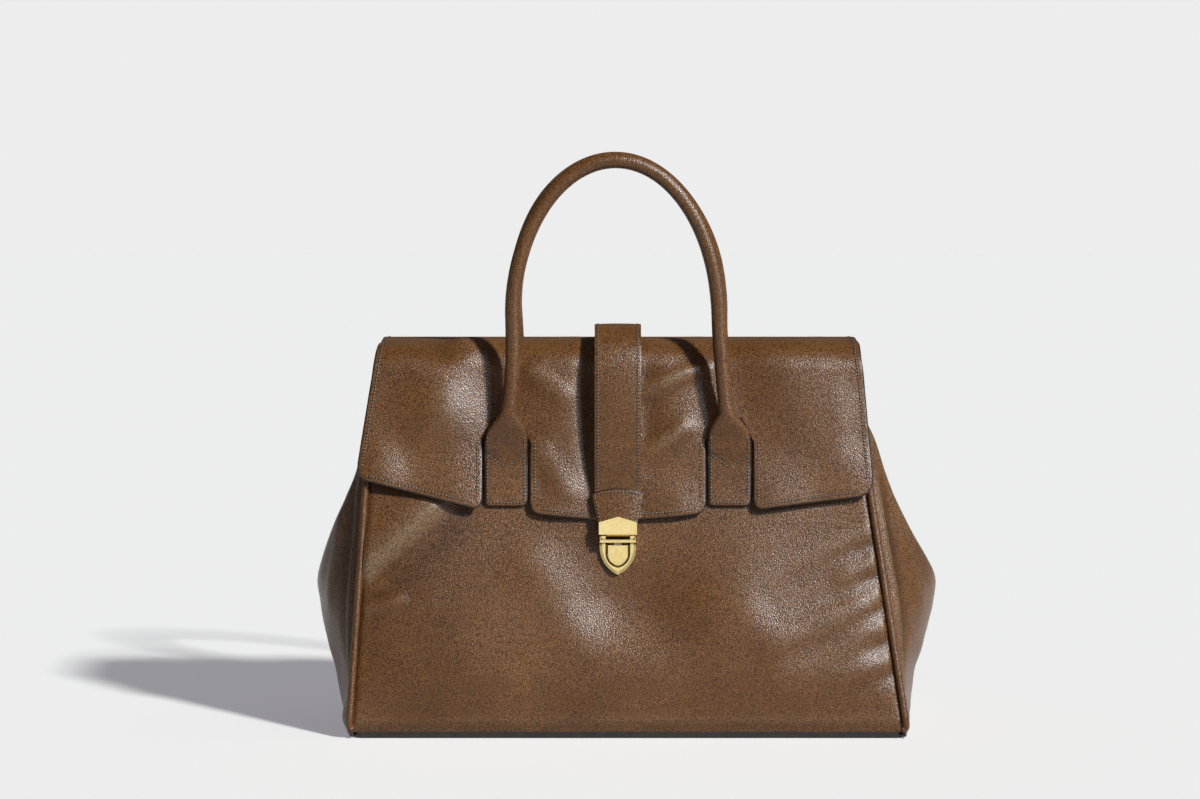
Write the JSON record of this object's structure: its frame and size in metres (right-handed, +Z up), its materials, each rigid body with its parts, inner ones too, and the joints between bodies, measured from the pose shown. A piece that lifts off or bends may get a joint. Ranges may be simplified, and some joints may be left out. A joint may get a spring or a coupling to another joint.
{
  "type": "top handle bag",
  "caption": "Structured brown leather top handle bag with bowed gussets, a notched front flap, a centre strap, a gold tuck lock and upright rolled handles",
  "frame": {"origin": "middle of the base where the bag rests on the floor", "axes": "X runs left to right along the width, -Y is the front with the flap and the lock, Z is up"},
  "size_m": [0.4288, 0.1654, 0.4001],
  "materials": {
    "brown_leather": "pebbled semi-gloss mid-brown leather with dark painted edges",
    "lining_leather": "smooth matte brown leather",
    "lining_cloth": "plain brown cotton lining",
    "board": "stiffening board",
    "core_rope": "twisted cotton rope",
    "gold_metal": "polished pale gold plating",
    "spring_steel": "plain steel"
  },
  "bodies": {
    "bag_body": {"front_panel": "brown_leather", "back_panel": "brown_leather", "base_panel": "brown_leather", "base_board": "board", "left_gusset": "brown_leather", "right_gusset": "brown_leather", "front_left_piping": "brown_leather", "front_right_piping": "brown_leather", "back_left_piping": "brown_leather", "back_right_piping": "brown_leather", "lining": "lining_cloth", "front_facing": "brown_leather", "back_facing": "brown_leather", "slip_pocket": "lining_cloth", "flap_anchor": "brown_leather", "strap_anchor": "brown_leather", "lock_case": "gold_metal", "catch_spring": "spring_steel", "lock_rivets": "gold_metal", "lock_back_plate": "spring_steel", "front_left_tab": "brown_leather", "front_right_tab": "brown_leather", "rear_left_tab": "brown_leather", "rear_right_tab": "brown_leather"},
    "flap": {"flap_leather": "brown_leather", "flap_lining": "lining_leather"},
    "strap": {"closure_strap": "brown_leather", "strap_chape": "brown_leather", "lock_plate": "gold_metal"},
    "lock_button": {"lock_button": "gold_metal"},
    "front_handle": {"front_handle_cover": "brown_leather", "front_handle_core": "core_rope"},
    "rear_handle": {"rear_handle_cover": "brown_leather", "rear_handle_core": "core_rope"}
  },
  "joints": [
    {"name": "flap_hinge", "type": "hinge", "parent": "bag_body", "child": "flap", "pos_m": [0, 0.0455, 0.27307], "axis": [-1, 0, 0], "range_deg": [0, 92]},
    {"name": "strap_hinge", "type": "hinge", "parent": "flap", "child": "strap", "pos_m": [0, 0.0455, 0.27307], "axis": [-1, 0, 0], "range_deg": [0, 72]},
    {"name": "front_handle_hinge", "type": "hinge", "parent": "bag_body", "child": "front_handle", "pos_m": [0, -0.05991, 0.19252], "axis": [1, 0, 0], "range_deg": [0, 83]},
    {"name": "rear_handle_hinge", "type": "hinge", "parent": "bag_body", "child": "rear_handle", "pos_m": [0, 0.05991, 0.19252], "axis": [-1, 0, 0], "range_deg": [0, 102]},
    {"name": "button_press", "type": "slide", "parent": "bag_body", "child": "lock_button", "axis": [0, 0.9909, -0.1344], "range_m": [0, 0.0014], "stiffness_N_per_m": 600, "deforming": ["catch_spring"]}
  ],
  "couplings": [
    {"joint": "front_handle_hinge", "follows": "flap_hinge", "ratio": 0.9}
  ]
}
